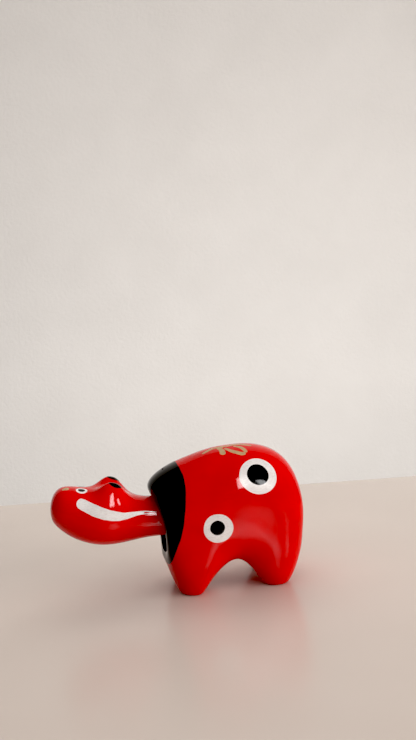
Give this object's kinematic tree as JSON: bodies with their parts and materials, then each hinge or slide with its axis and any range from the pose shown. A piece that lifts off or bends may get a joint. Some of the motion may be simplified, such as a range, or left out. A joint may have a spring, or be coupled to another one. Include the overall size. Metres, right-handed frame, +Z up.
{
  "type": "bobbing head papier-mache cow",
  "caption": "Red lacquered papier-mache cow standing on four stub legs, with a weighted neck and head that nod and sway on a thread inside the neck opening.",
  "frame": {"origin": "centre of the whole cow's footprint box, on the surface that its soles stand on", "axes": "+Z up, -X the way the cow faces (snout), -Y its left side"},
  "size_m": [0.1394, 0.052, 0.0772],
  "materials": {
    "red_lacquer": "glossy red lacquer over papier-mache",
    "black_lacquer": "glossy black lacquer over a paper binding",
    "black_lacquer_thread": "cotton knot painted over with black lacquer",
    "white_paint": "brushed off-white paint, semi-gloss",
    "gold_paint": "brushed dull gold paint",
    "bare_paper": "unpainted washi paper and paste, matt and fibrous",
    "thread": "twisted cotton thread",
    "clay": "dried clay, matt and slightly cracked"
  },
  "bodies": {
    "body": {"body_left_shell": "red_lacquer", "body_right_shell": "red_lacquer", "back_seam_strip": "bare_paper", "belly_seam_strip": "bare_paper", "opening_rim_binding": "black_lacquer", "thread_hole_patch": "bare_paper", "back_knot": "black_lacquer_thread"},
    "thread": {"hanging_thread": "thread"},
    "eye": {"thread_eye": "thread"},
    "head": {"neck_stitch": "thread", "head_left_shell": "red_lacquer", "head_right_shell": "red_lacquer", "crown_seam_strip": "bare_paper", "chin_seam_strip": "bare_paper", "clay_weight": "clay", "neck_end_disc": "bare_paper"}
  },
  "joints": [
    {"name": "thread_swing", "type": "hinge", "parent": "body", "child": "thread", "pos_m": [-0.00615, 0, 0.067], "axis": [0, 1, 0], "range_deg": [-3, 2]},
    {"name": "head_sway", "type": "hinge", "parent": "thread", "child": "eye", "pos_m": [-0.00615, 0, 0.05465], "axis": [0, 0, 1], "range_deg": [-10, 10]},
    {"name": "head_nod", "type": "hinge", "parent": "eye", "child": "head", "pos_m": [-0.00615, 0, 0.05465], "axis": [0, 1, 0], "range_deg": [-18, 5]}
  ]
}
